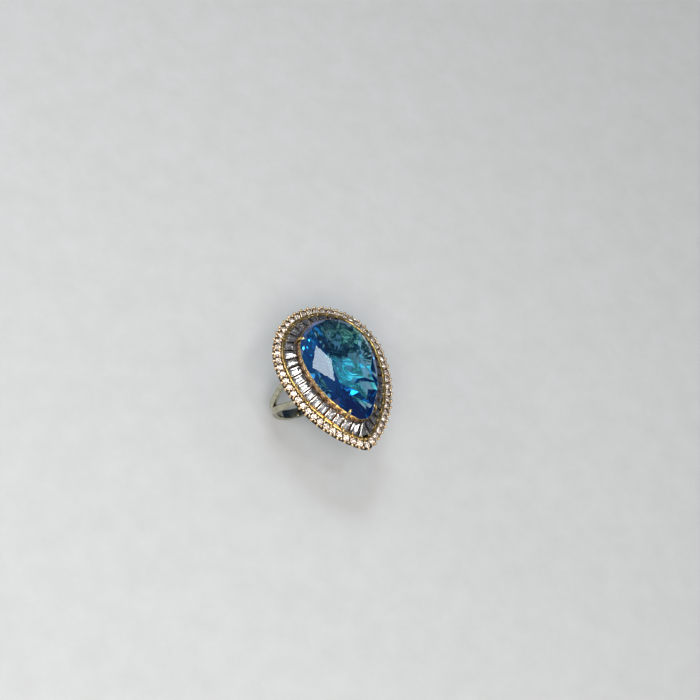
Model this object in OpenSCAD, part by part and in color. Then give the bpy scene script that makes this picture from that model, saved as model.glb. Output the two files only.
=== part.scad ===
// Cocktail ring: a pear-cut centre stone in four claws, a tray of tapered baguettes, a halo of round
// stones, an open gallery with a scroll plate, and a split shank.
// Millimetres. The origin is the centre of the finger hole: +Y runs along the finger towards the
// head's round end, +Z points from the finger to the face of the ring, +X runs across the hand.

/* [Finger] */
// Inside diameter of the finger hole
finger_d = 18.5; // [16:0.1:20]
// Thickness of the shank at the palm
shank_t = 1.4; // [1.2:0.1:2.2]
// Width of the shank at the palm
palm_w = 2.6; // [2:0.1:4]
// Distance between the outer edges of the two arms where they meet the head
fork_w = 10.6; // [8:0.2:12]
// Width of each arm where it meets the head
arm_w = 1.4; // [1.2:0.1:2.4]

/* [Centre stone] */
// Width of the pear-cut stone
stone_w = 20; // [19:0.1:21]
// Length of the pear-cut stone's outline before its point is rounded off
stone_l = 30; // [29:0.1:31]
// Height of the crown above the girdle
crown_h = 2.8; // [2:0.1:3.6]
// Depth of the pavilion below the girdle
pavilion_h = 7.2; // [6:0.1:8]
// Thickness of the girdle
girdle_t = 0.4; // [0.2:0.1:0.8]

/* [Head] */
// Height of the baguette rail above the finger centre
head_z = 18.3; // [17:0.1:19]
// How far the centre of the round end sits ahead of the finger centre
head_y = 1.5; // [0:0.5:4]
// Height of the stone's girdle above the baguette rail
girdle_z = 3.5; // [3:0.1:4.2]
// Depth of the scroll plate's underside below the baguette rail
gallery_h = 6.6; // [6.2:0.1:7]
// Number of wire struts in the gallery
strut_count = 20; // [12:2:24]

/* [Baguettes] */
// Number of baguettes in the tray
baguette_count = 36; // [30:2:40]
// Gap between two neighbouring baguettes
baguette_gap = 0.28; // [0.15:0.01:0.5]

/* [Halo] */
// Number of round stones in the halo
halo_count = 54; // [48:2:56]
// Diameter of each round stone
halo_d = 1.64; // [1.4:0.02:1.7]
// Downward slope of the halo band
halo_slope = 17; // [10:1:22]

/* [Hidden] */
$fn = 72;
eps = 0.02;

// An outline is [a, t, f]: a is the radius of its round end, t is the distance from the centre of the
// round end to where the two side arcs would cross, and f is the radius that rounds the point.
stone_p = [stone_w / 2, stone_l - stone_w / 2, 3.5];
wall_p = [stone_w / 2 - 0.05, stone_l - stone_w / 2 - 0.5, 3];
rail_p = [stone_w / 2 + 3.4, stone_l - stone_w / 2 + 3.4, 2.5];
tray_p = [stone_w / 2 + 1.63, stone_l - stone_w / 2 + 1.35, 2.75];
halo_p = [stone_w / 2 + 4.6, stone_l - stone_w / 2 + 4.55, 1.6];
base_p = [stone_w / 2 - 1.4, stone_l - stone_w / 2 - 3, 3];

finger_r = finger_d / 2;
shank_r = finger_r + shank_t;
plate_z = head_z - gallery_h;

wall_half = 0.3;
rail_half = 0.33;
wall_bottom = -2;
wall_top = 2.7;
rail_top = 0.15;
tray_bottom = -1;
tray_top = -0.6;
base_half = 0.45;
base_h = 0.9;
plate_t = 0.7;
strut_r = 0.42;

claw_r = 0.38;
claw_out = 0.62;
claw_low = -2;
claw_fit = 0.03;
// The claws stand in gaps between baguettes, counted from the gaps beside the point
claw_tip_gap = 2;
claw_head_gap = 13;

baguette_in_z = 1.15;
baguette_out_z = 0.2;
baguette_base = -0.55;
end_gap = 0.08;

halo_top = -0.65;
halo_in = -0.84;
halo_out = 1.05;
halo_t = 0.8;
halo_rise = 0.1;
prong_in_r = 0.29;
prong_out_r = 0.32;
bead_r = 0.34;

// Radius of the side arcs, distance from the round end's centre to the point's centre, and the angle
// that each side arc turns through
function side_r(p) = (p[1] * p[1] + p[0] * p[0]) / (2 * p[0]);
function tip_q(p) = sqrt(pow(side_r(p) - p[2], 2) - pow(side_r(p) - p[0], 2));
function side_a(p) = atan2(tip_q(p), side_r(p) - p[0]);
function rad(deg) = deg * PI / 180;
function deg_of(rad) = rad * 180 / PI;

// Length of the outline, and of its parts from the point round to the round end
function tip_half(p) = p[2] * rad(90 - side_a(p));
function side_len(p) = side_r(p) * rad(side_a(p));
function outline_len(p) = 2 * tip_half(p) + 2 * side_len(p) + PI * p[0];

// [x, y, outward direction] at a distance s along the outline, anticlockwise from the point
function on_tip(p, g) = [p[2] * cos(g), p[2] * sin(g) - tip_q(p), g];
function on_side(p, g) = [p[0] - side_r(p) + side_r(p) * cos(g), side_r(p) * sin(g), g];
function on_round(p, g) = [p[0] * cos(g), p[0] * sin(g), g];
function flip(v) = [-v[0], v[1], 180 - v[2]];
function on_outline(p, s) =
    s > outline_len(p) / 2 ? flip(on_outline(p, outline_len(p) - s)) :
    s < tip_half(p) ? on_tip(p, deg_of(s / p[2]) - 90) :
    s < tip_half(p) + side_len(p) ? on_side(p, deg_of((s - tip_half(p)) / side_r(p)) - side_a(p)) :
    on_round(p, deg_of((s - tip_half(p) - side_len(p)) / p[0]));
function at_part(p, k) = on_outline(p, (k - floor(k)) * outline_len(p));

// Distance of a point outside an outline, and how far it is from a point to the outline along a direction.
// way is 1 from a point inside the outline and -1 from one outside it
function outside(p, v) =
    v[1] >= 0 ? norm(v) - p[0] :
    atan2(-v[1] - tip_q(p), abs(v[0])) > side_a(p) ? norm([v[0], v[1] + tip_q(p)]) - p[2] :
    norm([abs(v[0]) + side_r(p) - p[0], v[1]]) - side_r(p);
function reach(p, v, u, way = 1, n = 24, t = 0) =
    n == 0 ? t : reach(p, v, u, way, n - 1, t - way * outside(p, v + t * u));
function dir(g) = [cos(g), sin(g)];

module head() {
    translate([0, head_y, head_z]) children();
}

// Sweeps a section along an outline: the section's x is measured outward from it and its y upward.
// Neighbouring arcs run a hair past each other, so that they join
module sweep(p) {
    over = 0.05;
    rotate([0, 0, -over]) rotate_extrude(angle = 180 + 2 * over) translate([p[0], 0]) children();
    for (side = [0, 1])
        mirror([side, 0, 0]) translate([p[0] - side_r(p), 0, 0]) rotate([0, 0, -side_a(p) - over])
            rotate_extrude(angle = side_a(p) + 2 * over) translate([side_r(p), 0]) children();
    translate([0, -tip_q(p), 0]) rotate([0, 0, side_a(p) - 180 - over])
        rotate_extrude(angle = 180 - 2 * side_a(p) + 2 * over) translate([p[2], 0]) children();
}

// The flat area inside an outline grown outward by d
module outline(p, d = 0) {
    r = side_r(p) + d;
    chord = r * sin(side_a(p));
    intersection() {
        circle(p[0] + d);
        translate([-p[0] - d, 0]) square([2 * (p[0] + d), p[0] + d]);
    }
    intersection() {
        translate([p[0] - side_r(p), 0]) circle(r);
        translate([side_r(p) - p[0], 0]) circle(r);
        translate([-p[0] - d, -chord]) square([2 * (p[0] + d), chord + eps]);
    }
    translate([0, -tip_q(p)]) circle(p[2] + d);
}

module ring_plate(inner, inner_d, outer, outer_d, z0, z1) {
    translate([0, 0, z0]) linear_extrude(z1 - z0) difference() {
        outline(outer, outer_d);
        outline(inner, inner_d);
    }
}

// A round rod from v to w that ends in a ball
module ball_rod(v, w, r, ball) {
    d = w - v;
    translate(v) rotate([0, acos(d[2] / norm(d)), atan2(d[1], d[0])]) {
        cylinder(h = norm(d), r = r);
        translate([0, 0, norm(d)]) sphere(r = ball);
    }
}

// Places children at a part of an outline, with local +X pointing outward
module at(p, k) {
    v = at_part(p, k);
    translate([v[0], v[1], 0]) rotate([0, 0, v[2]]) children();
}

// Places children at a claw, counted by the gap it stands in, with local +X pointing away from the stone
// and X zero on the stone's outline
module at_claw(gap, side) {
    v = at_part(tray_p, (gap + 0.5) / baguette_count);
    far = reach(stone_p, [v[0], v[1]], -dir(v[2]), -1);
    mirror([side, 0, 0]) translate([v[0], v[1], 0]) rotate([0, 0, v[2]]) translate([-far, 0, 0]) children();
}

// Holes that let the claws pass through a neighbouring piece
module claw_holes() {
    for (gap = [claw_tip_gap, claw_head_gap]) for (side = [0, 1]) at_claw(gap, side)
        translate([claw_out, 0, claw_low - 1]) cylinder(h = 8, r = claw_r + claw_fit);
}

// ---- shank ----

module split_shank() {
    shoulder_z = 4;
    inner_leave = 44;
    inner_top = 7.4;
    outer_top = 9.1;
    split_z = -3.5;
    crotch_z = -1.2;
    top = plate_z;
    color("palegoldenrod") intersection() {
        rotate([90, 0, 0]) linear_extrude(fork_w + 4, center = true) difference() {
            union() {
                circle(shank_r);
                polygon([[-finger_r - 0.5, 0], [finger_r + 0.5, 0], [shank_r - 0.9, shoulder_z],
                    [outer_top, top], [-outer_top, top], [0.9 - shank_r, shoulder_z]]);
            }
            circle(finger_r);
            polygon([[0, 0], [finger_r * sin(inner_leave), finger_r * cos(inner_leave)], [inner_top, top],
                [inner_top, top + 5], [-inner_top, top + 5], [-inner_top, top],
                [-finger_r * sin(inner_leave), finger_r * cos(inner_leave)]]);
        }
        rotate([90, 0, 90]) linear_extrude(4 * finger_r, center = true) polygon([
            [-palm_w / 2, -shank_r - 1], [palm_w / 2, -shank_r - 1], [palm_w / 2, split_z],
            [fork_w / 2, top], [fork_w / 2 - arm_w, top], [0, crotch_z],
            [arm_w - fork_w / 2, top], [-fork_w / 2, top], [-palm_w / 2, split_z]]);
    }
}

// ---- gallery ----

module base_rail() {
    color("darkgoldenrod") head() ring_plate(base_p, -base_half, base_p, base_half, -gallery_h, base_h - gallery_h);
}

// One curl of flat wire: an arc that ends in a round bud
module curl(x, y, r, from, turn, w = 0.75) {
    translate([x, y, 0]) {
        rotate([0, 0, from]) rotate_extrude(angle = turn) translate([r - w / 2, 0]) square([w, plate_t]);
        translate([r * cos(from + turn), r * sin(from + turn), 0]) cylinder(h = plate_t, r = w * 0.75);
    }
}

module scroll_plate() {
    color("goldenrod") head() translate([0, 0, 0.1 - gallery_h]) {
        ring_plate(base_p, -base_half - 0.7, base_p, -base_half, 0, plate_t);
        translate([-0.35, -15.6, 0]) cube([0.7, 22.6, plate_t]);
        for (side = [0, 1]) mirror([side, 0, 0]) {
            curl(2.9, 3.6, 2.7, -180, 290);
            curl(4.4, -2.4, 2.9, 10, -290);
            curl(2.3, -8.2, 2.1, -180, 270);
            curl(1.3, -12.6, 1.1, 180, -230);
        }
    }
}

// A strut is a flat bar that rises from the base rail and sweeps out to the baguette rail
module strut(k) {
    low = at_part(base_p, k);
    high = at_part(rail_p, k);
    span = norm([high[0] - low[0], high[1] - low[1]]);
    z0 = base_h - gallery_h;
    h = wall_bottom - z0;
    translate([low[0], low[1], z0]) rotate([0, 0, atan2(high[1] - low[1], high[0] - low[0])])
        rotate([90, 0, 0]) linear_extrude(2 * strut_r, center = true) polygon([[-strut_r, 0], [strut_r, 0],
            [span * 0.45 + strut_r, h * 0.3], [span, h - 0.7], [span + 0.3, h], [span - 0.5, h],
            [span * 0.45 - strut_r, h * 0.5]]);
}

module gallery_struts() {
    color("darkgoldenrod") head() for (i = [0:strut_count - 1]) strut((i + 0.5) / strut_count);
}

// ---- baguette tray ----

module baguette_tray() {
    color("peru") head() difference() {
        ring_plate(wall_p, wall_half, rail_p, -rail_half, tray_bottom, tray_top);
        claw_holes();
    }
}

// Cuts the top of a rail into one block for each baguette
module block_cuts(p, half, z, depth, w) {
    for (i = [0:baguette_count - 1]) at(p, (i + 0.5) / baguette_count)
        translate([-half - 0.1, -w / 2, z - depth]) cube([2 * half + 0.2, w, depth + 1]);
}

module inner_wall() {
    color("peru") head() difference() {
        ring_plate(wall_p, -wall_half, wall_p, wall_half, wall_bottom, wall_top);
        block_cuts(wall_p, wall_half, wall_top, 1.5, 0.35);
        claw_holes();
    }
}

module outer_rail() {
    color("gold") head() difference() {
        ring_plate(rail_p, -rail_half, rail_p, rail_half, wall_bottom, rail_top);
        block_cuts(rail_p, rail_half, rail_top, 0.3, 0.22);
    }
}

// A baguette's sides follow the normals between it and its neighbours, so it is wider at the rail
function edge_point(i, side, out) =
    let (v = at_part(tray_p, (i + side / 2) / baguette_count),
         way = out ? 1 : -1,
         far = reach(out ? rail_p : wall_p, [v[0], v[1]], way * dir(v[2]), way),
         clear = (out ? rail_half : wall_half) + end_gap)
    [v[0], v[1]] + way * (far - clear) * dir(v[2]) - side * baguette_gap / 2 * dir(v[2] + 90);

module baguette(i) {
    v = at_part(tray_p, i / baguette_count);
    slope = (baguette_out_z - baguette_in_z) / 2.6;
    mid = (baguette_in_z + baguette_out_z) / 2;
    half = 3;
    intersection() {
        translate([0, 0, baguette_base]) linear_extrude(3) polygon([edge_point(i, -1, true),
            edge_point(i, 1, true), edge_point(i, 1, false), edge_point(i, -1, false)]);
        translate([v[0], v[1], 0]) rotate([0, 0, v[2]]) rotate([90, 0, 0])
            linear_extrude(6, center = true) polygon([[-half, baguette_base], [half, baguette_base],
                [half, mid + slope * half], [-half, mid - slope * half]]);
    }
}

module baguettes(from, to) {
    color("lightsteelblue") head() difference() {
        for (i = [from:to]) baguette(i);
        claw_holes();
    }
}

tip_side = round(baguette_count * 0.07);
round_side = round(baguette_count * 0.3);
module baguettes_tip() { baguettes(-tip_side, tip_side); }
module baguettes_right() { baguettes(tip_side + 1, round_side); }
module baguettes_round_end() { baguettes(round_side + 1, baguette_count - round_side - 1); }
module baguettes_left() { baguettes(baguette_count - round_side, baguette_count - tip_side - 1); }

// ---- centre stone ----

stone_c = [0, -2.3];
table_part = 0.42;
star_part = 0.7;
star_z = 0.75;
// Directions of the eight main crown facets and of the corners between them, from the stone's point
main_dirs = [0, 29, 88, 145, 180, 215, 272, 331];
star_dirs = [15, 43, 128, 160, 200, 232, 317, 345];
function rim(g) =
    let (u = [sin(g), -cos(g)]) stone_c + reach(stone_p, stone_c, u) * u;
function rim_part(g, k) = stone_c + k * (rim(g) - stone_c);

module centre_stone() {
    skin = 0.01;
    color("dodgerblue") head() translate([0, 0, girdle_z]) hull() {
        translate([0, 0, -girdle_t / 2]) linear_extrude(girdle_t)
            polygon([for (i = [0:47]) let (v = at_part(stone_p, i / 48)) [v[0], v[1]]]);
        translate([0, 0, girdle_t / 2 + crown_h - skin]) linear_extrude(skin)
            polygon([for (g = main_dirs) rim_part(g, table_part)]);
        translate([0, 0, girdle_t / 2 + crown_h * star_z]) linear_extrude(skin)
            polygon([for (g = star_dirs) rim_part(g, star_part)]);
        translate([0, 0, -girdle_t / 2 - pavilion_h * 0.62]) linear_extrude(skin)
            polygon([for (g = main_dirs) rim_part(g, 0.42)]);
        translate([0, 0, -girdle_t / 2 - pavilion_h]) linear_extrude(skin)
            polygon([[0.2, stone_c[1]], [0, stone_c[1] + 1.5], [-0.2, stone_c[1]], [0, stone_c[1] - 4]]);
    }
}

// The collar stands on the inner wall and holds the stone up under its girdle, with a step cut inside
// for the slope of the pavilion
module seat_collar() {
    high = girdle_z - girdle_t / 2 - 0.05;
    step = high - 0.45;
    color("gold") head() difference() {
        union() {
            ring_plate(stone_p, -0.5, stone_p, 0.12, wall_top, step);
            ring_plate(stone_p, -0.1, stone_p, 0.12, step, high);
        }
        claw_holes();
    }
}

// A claw stands outside the girdle, leans in over it and ends in a round tip on the crown
module claw(gap, side) {
    tip_in = -0.2;
    tip_up = girdle_z + girdle_t / 2 + 0.66;
    bend_up = girdle_z + girdle_t / 2;
    color("gold") head() at_claw(gap, side) {
        translate([claw_out, 0, claw_low]) cylinder(h = bend_up + 0.2 - claw_low, r = claw_r);
        ball_rod([claw_out, 0, bend_up - 0.1], [tip_in, 0, tip_up], claw_r * 0.85, 0.42);
    }
}

module claw_tip_right() { claw(claw_tip_gap, 0); }
module claw_head_right() { claw(claw_head_gap, 0); }
module claw_head_left() { claw(claw_head_gap, 1); }
module claw_tip_left() { claw(claw_tip_gap, 1); }

// ---- halo ----

// Height of the band's top face at a distance d outward from the middle of the row of stones
function band_z(d) = halo_top - (d - halo_in) * tan(halo_slope);

// Places children on the band at a part of its outline, d outward, with local +Z square to the band
module on_band(k, d) {
    at(halo_p, k) translate([d, 0, band_z(d)]) rotate([0, halo_slope, 0]) children();
}

module halo_band() {
    color("darkgoldenrod") head() difference() {
        sweep(halo_p) polygon([[halo_in, band_z(halo_in)], [halo_out, band_z(halo_out)],
            [halo_out, band_z(halo_out) - halo_t * 0.7], [halo_in, band_z(halo_in) - halo_t]]);
        for (i = [0:halo_count - 1]) on_band(i / halo_count, 0)
            translate([0, 0, -halo_d * 0.62]) cylinder(h = halo_d * 0.8, r1 = halo_d * 0.1, r2 = halo_d * 0.58);
    }
}

module round_stone() {
    r = halo_d / 2;
    translate([0, 0, halo_rise]) {
        cylinder(h = halo_d * 0.18, r1 = r, r2 = r * 0.6);
        translate([0, 0, -halo_d * 0.03]) cylinder(h = halo_d * 0.03, r = r);
        translate([0, 0, -halo_d * 0.46]) cylinder(h = halo_d * 0.43, r1 = 0.02, r2 = r);
    }
}

module halo_stones(from, to) {
    color("white") head() for (i = [from:to]) on_band(i / halo_count, 0) round_stone();
}

halo_tip = round(halo_count * 0.06);
halo_side = round(halo_count * 0.29);
module halo_stones_tip() { halo_stones(-halo_tip, halo_tip); }
module halo_stones_right() { halo_stones(halo_tip + 1, halo_side); }
module halo_stones_round_end() { halo_stones(halo_side + 1, halo_count - halo_side - 1); }
module halo_stones_left() { halo_stones(halo_count - halo_side, halo_count - halo_tip - 1); }

// A prong stands between two stones and is worked down to a bead over both
module prong(k, d, r) {
    on_band(k, d) {
        cylinder(h = halo_rise + r * 0.6, r = r * 0.9);
        translate([0, 0, halo_rise + r * 0.6]) sphere(r = r);
    }
}

module halo_prongs_inner() {
    color("gold") head() for (i = [0:halo_count - 1]) prong((i + 0.5) / halo_count, -0.62, prong_in_r);
}

module halo_prongs_outer() {
    color("gold") head() for (i = [0:halo_count - 1]) prong((i + 0.5) / halo_count, 0.74, prong_out_r);
}

module halo_edge_beads() {
    color("gold") head() for (i = [0:halo_count - 1]) on_band(i / halo_count, 1.08)
        translate([0, 0, bead_r]) sphere(r = bead_r);
}

split_shank();
base_rail();
scroll_plate();
gallery_struts();
baguette_tray();
inner_wall();
outer_rail();
seat_collar();
centre_stone();
claw_tip_right();
claw_head_right();
claw_head_left();
claw_tip_left();
baguettes_tip();
baguettes_right();
baguettes_round_end();
baguettes_left();
halo_band();
halo_stones_tip();
halo_stones_right();
halo_stones_round_end();
halo_stones_left();
halo_prongs_inner();
halo_prongs_outer();
halo_edge_beads();
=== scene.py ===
"""Cocktail ring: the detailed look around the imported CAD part.

Shapes are worked out in millimetres in the head's own frame: its origin is the centre of the round end
at the height of the baguette rail, +Y runs to the round end and +Z to the face of the ring. put() moves
them to the row frame, in metres.
"""

import math
import random

import bmesh
import bpy
from mathutils import Matrix, Vector

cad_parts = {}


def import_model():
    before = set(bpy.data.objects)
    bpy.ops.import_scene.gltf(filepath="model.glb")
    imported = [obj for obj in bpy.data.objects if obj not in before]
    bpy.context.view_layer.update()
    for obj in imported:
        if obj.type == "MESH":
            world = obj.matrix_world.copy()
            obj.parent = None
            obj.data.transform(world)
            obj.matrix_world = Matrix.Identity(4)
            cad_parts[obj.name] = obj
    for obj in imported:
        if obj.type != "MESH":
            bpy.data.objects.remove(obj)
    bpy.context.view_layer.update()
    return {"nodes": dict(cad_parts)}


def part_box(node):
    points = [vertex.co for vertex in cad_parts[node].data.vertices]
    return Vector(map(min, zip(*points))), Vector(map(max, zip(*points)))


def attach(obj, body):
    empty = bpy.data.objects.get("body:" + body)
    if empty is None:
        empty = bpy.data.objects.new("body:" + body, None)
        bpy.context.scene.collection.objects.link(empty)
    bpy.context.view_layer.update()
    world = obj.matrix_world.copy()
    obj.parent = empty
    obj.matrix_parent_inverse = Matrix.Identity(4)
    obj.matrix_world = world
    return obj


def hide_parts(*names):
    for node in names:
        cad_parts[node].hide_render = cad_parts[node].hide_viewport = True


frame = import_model()
ROOT = "root"
MM = 0.001
rng = random.Random(11)

# ---- the head's place, from the CAD nodes ----

RAIL_TOP = 0.15
rail_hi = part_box("outer_rail")[1]
shank_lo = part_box("split_shank")[0]
HEAD = Vector((0, rail_hi.y - rail_hi.x, rail_hi.z - RAIL_TOP * MM))
FLOOR_Z = shank_lo.z


def put(v):
    """A point of the head's frame, in millimetres, as a point of the row frame, in metres."""
    return (HEAD.x + v[0] * MM, HEAD.y + v[1] * MM, HEAD.z + v[2] * MM)


# ---- outlines ----


class Outline:
    """A pear outline: round end, two side arcs and a rounded point.

    a is the radius of the round end, t how far ahead of its centre the side arcs would cross, and f the
    radius at the point. A part of the outline is a share of its length, counted from the point.
    """

    def __init__(self, a, t, f):
        self.a, self.f = a, f
        self.side_r = (t * t + a * a) / (2 * a)
        self.tip_q = math.sqrt((self.side_r - f) ** 2 - (self.side_r - a) ** 2)
        self.side_a = math.atan2(self.tip_q, self.side_r - a)
        self.tip_half = f * (math.pi / 2 - self.side_a)
        self.side_len = self.side_r * self.side_a
        self.length = 2 * self.tip_half + 2 * self.side_len + math.pi * a

    def along(self, s):
        """(x, y, outward angle) at a distance s from the point, anticlockwise."""
        if s > self.length / 2:
            x, y, g = self.along(self.length - s)
            return -x, y, math.pi - g
        if s < self.tip_half:
            g = s / self.f - math.pi / 2
            return self.f * math.cos(g), self.f * math.sin(g) - self.tip_q, g
        if s < self.tip_half + self.side_len:
            g = (s - self.tip_half) / self.side_r - self.side_a
            return self.a - self.side_r + self.side_r * math.cos(g), self.side_r * math.sin(g), g
        g = (s - self.tip_half - self.side_len) / self.a
        return self.a * math.cos(g), self.a * math.sin(g), g

    def at(self, part, d=0.0, z=0.0):
        """The point a distance d outward from the outline, at a part of its length, and at height z."""
        x, y, g = self.along((part % 1.0) * self.length)
        return Vector((x + d * math.cos(g), y + d * math.sin(g), z))

    def normal(self, part):
        """The outward direction at a part of the outline."""
        g = self.along((part % 1.0) * self.length)[2]
        return Vector((math.cos(g), math.sin(g), 0))

    def outside(self, v):
        """How far v is outside the outline, negative inside it."""
        if v[1] >= 0:
            return math.hypot(v[0], v[1]) - self.a
        if math.atan2(-v[1] - self.tip_q, abs(v[0])) > self.side_a:
            return math.hypot(v[0], v[1] + self.tip_q) - self.f
        return math.hypot(abs(v[0]) + self.side_r - self.a, v[1]) - self.side_r

    def reach(self, v, u, way=1):
        """How far it is from v to the outline along u. way is 1 from inside and -1 from outside."""
        t = 0.0
        for _ in range(30):
            t -= way * self.outside((v[0] + t * u[0], v[1] + t * u[1]))
        return t


# The same outlines as in part.scad: stone, inner wall, rail, middle of the tray, halo row and base rail
STONE = Outline(10, 20, 3.5)
WALL = Outline(9.95, 19.5, 3)
RAIL = Outline(13.4, 23.4, 2.5)
TRAY = Outline(11.63, 21.35, 2.75)
HALO = Outline(14.6, 24.55, 1.6)
BASE = Outline(8.6, 17, 3)

BAGUETTES = 36
HALO_STONES = 54
WALL_HALF, WALL_BOTTOM, WALL_TOP = 0.3, -2.0, 2.7
RAIL_HALF = 0.33
GALLERY = -6.6
STRUTS = 20


# ---- mesh building ----

SHARP = math.radians(35)


class Shape:
    """The vertices and faces of one visual piece, with a material index and smooth shading for each face."""

    def __init__(self):
        self.verts, self.faces, self.smooth, self.index = [], [], [], []

    def add(self, verts, faces, smooth=False, index=0):
        n = len(self.verts)
        self.verts += [tuple(v) for v in verts]
        self.faces += [tuple(n + i for i in f) for f in faces]
        self.smooth += [smooth] * len(faces)
        self.index += [index] * len(faces)

    def loft(self, loops, closed=False, caps=True, smooth=True, index=0):
        """Joins loops that have the same number of points. closed joins the last loop to the first."""
        n, m = len(loops[0]), len(loops)
        verts = [v for loop in loops for v in loop]
        faces = []
        for a in range(m if closed else m - 1):
            b = (a + 1) % m
            for i in range(n):
                j = (i + 1) % n
                faces.append((a * n + i, a * n + j, b * n + j, b * n + i))
        self.add(verts, faces, smooth, index)
        if caps and not closed:
            self.add(loops[0], [tuple(reversed(range(n)))], False, index)
            self.add(loops[-1], [tuple(range(n))], False, index)

    def tube(self, points, radii, sides=10, flat=1.0, ends=True, index=0):
        """A round or flattened rod along a line of points, with domed ends."""
        pts = [Vector(p) for p in points]
        tangents = []
        for i in range(len(pts)):
            tangents.append((pts[min(i + 1, len(pts) - 1)] - pts[max(i - 1, 0)]).normalized())
        side = tangents[0].orthogonal().normalized()
        if abs(tangents[0].z) < 0.9:
            side = Vector((0, 0, 1)).cross(tangents[0]).normalized()
        rows = []
        for p, t, r in zip(pts, tangents, radii):
            side = (side - t * side.dot(t)).normalized()
            rows.append((p, t, side, t.cross(side), r))
        dome = [(0.98, 0.2), (0.8, 0.6), (0.45, 0.89), (0.1, 0.995)]
        loops = []
        if ends:
            p, t, s, u, r = rows[0]
            for scale, back in reversed(dome):
                loops.append(self.circle(p - t * r * back, s, u, r * scale, sides, flat))
        for p, t, s, u, r in rows:
            loops.append(self.circle(p, s, u, r, sides, flat))
        if ends:
            p, t, s, u, r = rows[-1]
            for scale, on in dome:
                loops.append(self.circle(p + t * r * on, s, u, r * scale, sides, flat))
        self.loft(loops, index=index)

    @staticmethod
    def circle(centre, s, u, r, sides, flat):
        return [
            centre + s * (r * math.cos(g)) + u * (r * flat * math.sin(g))
            for g in (2 * math.pi * i / sides for i in range(sides))
        ]

    def ball(self, centre, r, axes=None, squash=1.0, seg=12, rings=7, index=0):
        """A grain: a ball flattened along its own third axis."""
        axes = axes or (Vector((1, 0, 0)), Vector((0, 1, 0)), Vector((0, 0, 1)))
        e1, e2, e3 = axes
        loops = []
        for a in range(1, rings):
            g = math.pi * a / rings
            c = Vector(centre) - e3 * (r * squash * math.cos(g))
            loops.append(self.circle(c, e1, e2, r * math.sin(g), seg, 1.0))
        n = len(self.verts)
        self.loft(loops, caps=False, index=index)
        count = len(loops) * seg
        self.add([Vector(centre) - e3 * r * squash, Vector(centre) + e3 * r * squash], [], True, index)
        low, high = n + count, n + count + 1
        for i in range(seg):
            j = (i + 1) % seg
            self.faces.append((low, n + j, n + i))
            self.faces.append((high, n + count - seg + i, n + count - seg + j))
            self.smooth += [True, True]
            self.index += [index, index]

    def ring(self, outline, section, k0=0.0, k1=1.0, count=288, ease=0.0, index=0):
        """Sweeps a section of (outward, up) points along an outline, from part k0 to part k1.

        With less than a whole turn, the ends are drawn in by ease.
        """
        whole = abs(k1 - k0 - 1.0) < 1e-9
        cx = sum(s[0] for s in section) / len(section)
        cz = sum(s[1] for s in section) / len(section)
        steps = [(k0 + (k1 - k0) * i / count, 1.0) for i in range(count if whole else count + 1)]
        if not whole and ease:
            lead = ease / outline.length
            steps = [(k0, 0.0), (k0 + lead * 0.3, 0.7), (k0 + lead, 1.0)]
            steps += [(k0 + lead + (k1 - k0 - 2 * lead) * i / count, 1.0) for i in range(1, count)]
            steps += [(k1 - lead, 1.0), (k1 - lead * 0.3, 0.7), (k1, 0.0)]
        loops = []
        for k, full in steps:
            inset = ease * (1 - full)
            loop = []
            for d, z in section:
                dx = d - math.copysign(min(inset, abs(d - cx)), d - cx)
                dz = z - math.copysign(min(inset, abs(z - cz)), z - cz)
                loop.append(outline.at(k, dx, dz))
            loops.append(loop)
        self.loft(loops, closed=whole, index=index)

    def build(self, name, materials, nodes, head=True):
        """Makes the object and ties it to the body it rides and the CAD nodes that it replaces.

        head says that the points are in the head's frame, not in millimetres of the row frame.
        """
        mesh = bpy.data.meshes.new(name)
        verts = [put(v) for v in self.verts] if head else [tuple(c * MM for c in v) for v in self.verts]
        mesh.from_pydata(verts, [], self.faces)
        mesh.polygons.foreach_set("use_smooth", self.smooth)
        mesh.polygons.foreach_set("material_index", self.index)
        for m in materials:
            mesh.materials.append(m)
        mesh.update()
        obj = bpy.data.objects.new(name, mesh)
        bpy.context.scene.collection.objects.link(obj)
        if any(self.smooth):
            mesh.set_sharp_from_angle(angle=SHARP)
        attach(obj, ROOT)
        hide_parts(*nodes)
        return obj


def outward_normals(obj, weld=None):
    """Turns all faces to look outward, after joining the points that lie within weld of each other."""
    bm = bmesh.new()
    bm.from_mesh(obj.data)
    if weld:
        bmesh.ops.remove_doubles(bm, verts=bm.verts, dist=weld)
    bmesh.ops.recalc_face_normals(bm, faces=bm.faces)
    bm.to_mesh(obj.data)
    bm.free()


def rounded(d0, d1, z0, z1, r, n=3):
    """A rounded rectangle from d0 to d1 outward and z0 to z1 up, anticlockwise, with n steps to a corner."""
    pts = []
    corners = ((d1 - r, z1 - r, 0), (d0 + r, z1 - r, 90), (d0 + r, z0 + r, 180), (d1 - r, z0 + r, 270))
    for cx, cz, g0 in corners:
        for i in range(n + 1):
            g = math.radians(g0 + 90 * i / n)
            pts.append((cx + r * math.cos(g), cz + r * math.sin(g)))
    return pts


# ---- materials ----


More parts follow.
